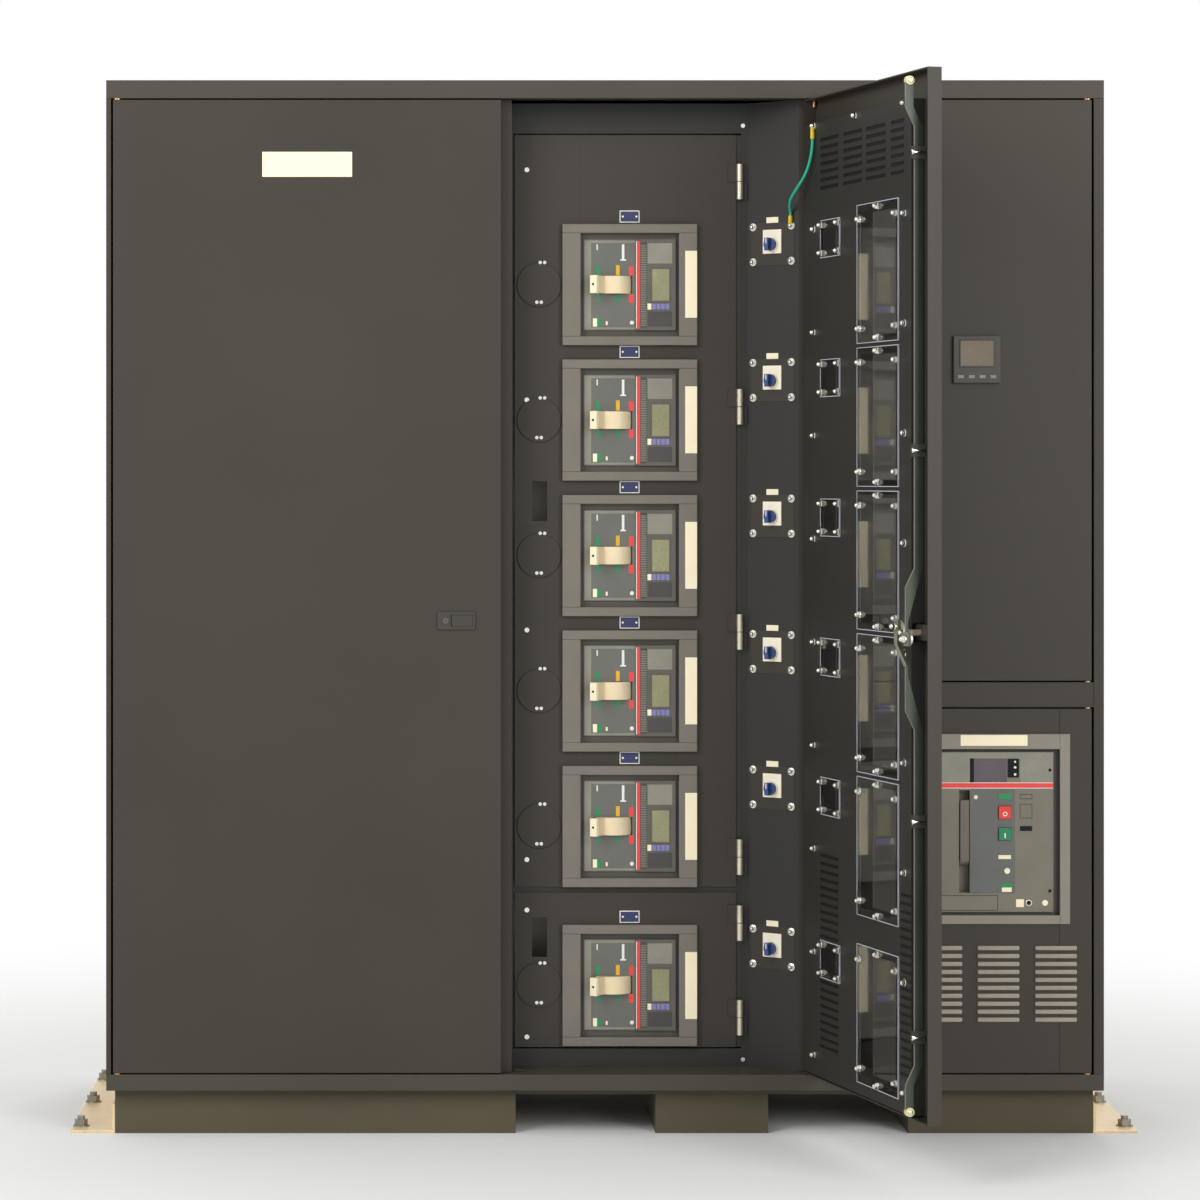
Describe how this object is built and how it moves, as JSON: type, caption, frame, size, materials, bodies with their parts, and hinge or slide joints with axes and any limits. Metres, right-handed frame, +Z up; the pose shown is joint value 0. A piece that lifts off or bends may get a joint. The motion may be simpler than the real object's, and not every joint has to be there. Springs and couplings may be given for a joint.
{
  "type": "automatic transfer switch",
  "caption": "Floor-standing three-bay transfer switch cabinet with hinged doors, dead-front breakers, rotary selectors, panel meter and a draw-out air breaker.",
  "frame": {"origin": "on the floor, at the middle of the anchor hole pattern under the cabinet", "axes": "+Z up, doors face -Y, +X to the right seen from the front"},
  "size_m": [2.184, 1.3716, 2.151],
  "materials": {
    "cabinet_paint": "matt textured powder coat",
    "inner_paint": "matt powder coat",
    "plinth_paint": "matt paint",
    "plate_cream": "pale plated steel",
    "zinc": "zinc plated",
    "bronze": "oiled bronze",
    "breaker_black": "moulded",
    "breaker_grey": "moulded",
    "bezel_grey": "fine textured",
    "legend_white": "satin",
    "copper": "bare copper",
    "heat_sink": "extruded",
    "control_grey": "satin enamel",
    "wire_green": "insulated wire",
    "latch_black": "moulded",
    "clear_pane": "clear polycarbonate",
    "meter_black": "moulded",
    "toggle_cream": "moulded",
    "knob_blue": "moulded",
    "button_green": "moulded",
    "button_red": "moulded"
  },
  "bodies": {
    "cabinet": {"plinth": "plinth_paint", "floor_plates": "plate_cream", "base_frame": "cabinet_paint", "roof_cap": "cabinet_paint", "side_panels": "cabinet_paint", "rear_covers": "cabinet_paint", "front_frame": "cabinet_paint", "bay_partitions": "cabinet_paint", "mounting_pans": "zinc", "deadfront_frame": "inner_paint", "hinge_pins": "bronze", "breaker_cases": "breaker_black", "breaker_faces": "breaker_grey", "trip_units": "breaker_black", "selector_plates": "legend_white", "busbars": "copper", "heat_sink_stacks": "heat_sink", "control_unit": "control_grey", "air_breaker_case": "breaker_black", "air_breaker_face": "breaker_black", "bond_wire": "wire_green"},
    "left_door": {"left_door": "cabinet_paint", "left_latch_case": "latch_black"},
    "left_paddle": {"left_paddle": "latch_black"},
    "centre_door": {"centre_door": "cabinet_paint", "door_liner": "inner_paint", "window_panes": "clear_pane", "door_fittings": "zinc", "centre_latch_case": "latch_black"},
    "centre_paddle": {"centre_paddle": "latch_black"},
    "latch_cam": {"latch_cam": "zinc"},
    "upper_rod": {"upper_rod": "zinc"},
    "lower_rod": {"lower_rod": "zinc"},
    "upper_right_door": {"upper_right_door": "cabinet_paint", "meter": "meter_black", "upper_right_latch_case": "latch_black"},
    "upper_right_paddle": {"upper_right_paddle": "latch_black"},
    "lower_right_door": {"lower_right_door": "cabinet_paint", "air_breaker_flange": "bezel_grey", "lower_right_latch_case": "latch_black"},
    "lower_right_paddle": {"lower_right_paddle": "latch_black"},
    "inner_upper": {"inner_door_upper": "inner_paint", "upper_covers": "bezel_grey"},
    "inner_lower": {"inner_door_lower": "inner_paint", "lower_covers": "bezel_grey"},
    "charging_lever": {"charging_lever": "breaker_black"},
    "on_button": {"on_button": "button_green"},
    "off_button": {"off_button": "button_red"},
    "toggle_1": {"toggle_1": "toggle_cream"},
    "selector_knob_1": {"selector_knob_1": "knob_blue"},
    "toggle_2": {"toggle_2": "toggle_cream"},
    "selector_knob_2": {"selector_knob_2": "knob_blue"},
    "toggle_3": {"toggle_3": "toggle_cream"},
    "selector_knob_3": {"selector_knob_3": "knob_blue"},
    "toggle_4": {"toggle_4": "toggle_cream"},
    "selector_knob_4": {"selector_knob_4": "knob_blue"},
    "toggle_5": {"toggle_5": "toggle_cream"},
    "selector_knob_5": {"selector_knob_5": "knob_blue"},
    "toggle_6": {"toggle_6": "toggle_cream"},
    "selector_knob_6": {"selector_knob_6": "knob_blue"}
  },
  "joints": [
    {"name": "left_door_swing", "type": "hinge", "parent": "cabinet", "child": "left_door", "pos_m": [-0.994, -0.373, 1.12], "axis": [0, 0, -1], "range_deg": [0, 110]},
    {"name": "left_paddle_lift", "type": "hinge", "parent": "left_door", "child": "left_paddle", "pos_m": [-0.3095, -0.381, 1.05], "axis": [0, 0, -1], "range_deg": [0, 70], "stiffness_Nm_per_rad": 0.05},
    {"name": "centre_door_swing", "type": "hinge", "parent": "cabinet", "child": "centre_door", "pos_m": [0.427, -0.373, 1.12], "axis": [0, 0, 1], "range_deg": [-105, 5], "deforming": ["bond_wire"]},
    {"name": "centre_paddle_lift", "type": "hinge", "parent": "centre_door", "child": "centre_paddle", "pos_m": [0.58187, -0.92006, 1.05], "axis": [0, 0, 1], "range_deg": [-70, 0]},
    {"name": "latch_cam_turn", "type": "hinge", "parent": "centre_door", "child": "latch_cam", "pos_m": [0.58355, -0.92634, 1.05], "axis": [-0.9659, -0.2588, 0], "range_deg": [0, 50]},
    {"name": "upper_rod_slide", "type": "slide", "parent": "centre_door", "child": "upper_rod", "axis": [0, 0, 1], "range_m": [0, 0.02197]},
    {"name": "lower_rod_slide", "type": "slide", "parent": "centre_door", "child": "lower_rod", "axis": [0, 0, -1], "range_m": [0, 0.022]},
    {"name": "upper_right_door_swing", "type": "hinge", "parent": "cabinet", "child": "upper_right_door", "pos_m": [0.983, -0.373, 1.52], "axis": [0, 0, 1], "range_deg": [0, 110]},
    {"name": "upper_right_paddle_lift", "type": "hinge", "parent": "upper_right_door", "child": "upper_right_paddle", "pos_m": [0.5565, -0.381, 1.05], "axis": [0, 0, 1], "range_deg": [0, 70], "stiffness_Nm_per_rad": 0.05},
    {"name": "lower_right_door_swing", "type": "hinge", "parent": "cabinet", "child": "lower_right_door", "pos_m": [0.983, -0.373, 0.5], "axis": [0, 0, 1], "range_deg": [0, 110]},
    {"name": "lower_right_paddle_lift", "type": "hinge", "parent": "lower_right_door", "child": "lower_right_paddle", "pos_m": [0.5565, -0.381, 0.749], "axis": [0, 0, 1], "range_deg": [0, 70], "stiffness_Nm_per_rad": 0.05},
    {"name": "inner_upper_swing", "type": "hinge", "parent": "cabinet", "child": "inner_upper", "pos_m": [0.283, -0.283, 1.273], "axis": [0, 0, 1], "range_deg": [0, 95]},
    {"name": "inner_lower_swing", "type": "hinge", "parent": "cabinet", "child": "inner_lower", "pos_m": [0.283, -0.283, 0.325], "axis": [0, 0, 1], "range_deg": [0, 95]},
    {"name": "toggle_1_throw", "type": "hinge", "parent": "cabinet", "child": "toggle_1", "pos_m": [0.022, -0.2465, 1.7396], "axis": [0, 0, 1], "range_deg": [0, 70]},
    {"name": "toggle_2_throw", "type": "hinge", "parent": "cabinet", "child": "toggle_2", "pos_m": [0.022, -0.2465, 1.4602], "axis": [0, 0, 1], "range_deg": [0, 70]},
    {"name": "toggle_3_throw", "type": "hinge", "parent": "cabinet", "child": "toggle_3", "pos_m": [0.022, -0.2465, 1.1808], "axis": [0, 0, 1], "range_deg": [0, 70]},
    {"name": "toggle_4_throw", "type": "hinge", "parent": "cabinet", "child": "toggle_4", "pos_m": [0.022, -0.2465, 0.9014], "axis": [0, 0, 1], "range_deg": [0, 70]},
    {"name": "toggle_5_throw", "type": "hinge", "parent": "cabinet", "child": "toggle_5", "pos_m": [0.022, -0.2465, 0.622], "axis": [0, 0, 1], "range_deg": [0, 70]},
    {"name": "toggle_6_throw", "type": "hinge", "parent": "cabinet", "child": "toggle_6", "pos_m": [0.022, -0.2465, 0.294], "axis": [0, 0, 1], "range_deg": [0, 70]},
    {"name": "selector_1_turn", "type": "hinge", "parent": "cabinet", "child": "selector_knob_1", "pos_m": [0.3475, -0.313, 1.8206], "axis": [-0.6065, -0.7951, 0], "range_deg": [-45, 45]},
    {"name": "selector_2_turn", "type": "hinge", "parent": "cabinet", "child": "selector_knob_2", "pos_m": [0.3475, -0.313, 1.5412], "axis": [-0.6065, -0.7951, 0], "range_deg": [-45, 45]},
    {"name": "selector_3_turn", "type": "hinge", "parent": "cabinet", "child": "selector_knob_3", "pos_m": [0.3475, -0.313, 1.2618], "axis": [-0.6065, -0.7951, 0], "range_deg": [-45, 45]},
    {"name": "selector_4_turn", "type": "hinge", "parent": "cabinet", "child": "selector_knob_4", "pos_m": [0.3475, -0.313, 0.9824], "axis": [-0.6065, -0.7951, 0], "range_deg": [-45, 45]},
    {"name": "selector_5_turn", "type": "hinge", "parent": "cabinet", "child": "selector_knob_5", "pos_m": [0.3475, -0.313, 0.703], "axis": [-0.6065, -0.7951, 0], "range_deg": [-45, 45]},
    {"name": "selector_6_turn", "type": "hinge", "parent": "cabinet", "child": "selector_knob_6", "pos_m": [0.3475, -0.313, 0.375], "axis": [-0.6065, -0.7951, 0], "range_deg": [-45, 45]},
    {"name": "charging_lever_pull", "type": "hinge", "parent": "cabinet", "child": "charging_lever", "pos_m": [0.732, -0.366, 0.56], "axis": [1, 0, 0], "range_deg": [0, 60], "stiffness_Nm_per_rad": 0.5, "springref_deg": -11.46},
    {"name": "on_button_press", "type": "slide", "parent": "cabinet", "child": "on_button", "axis": [0, 1, 0], "range_m": [0, 0.004], "stiffness_N_per_m": 800},
    {"name": "off_button_press", "type": "slide", "parent": "cabinet", "child": "off_button", "axis": [0, 1, 0], "range_m": [0, 0.004], "stiffness_N_per_m": 800}
  ],
  "couplings": [
    {"joint": "lower_rod_slide", "follows": "upper_rod_slide", "ratio": 1},
    {"joint": "latch_cam_turn", "follows": "upper_rod_slide", "rad_per_m": 39.71},
    {"joint": "centre_paddle_lift", "follows": "upper_rod_slide", "rad_per_m": -55.6}
  ]
}
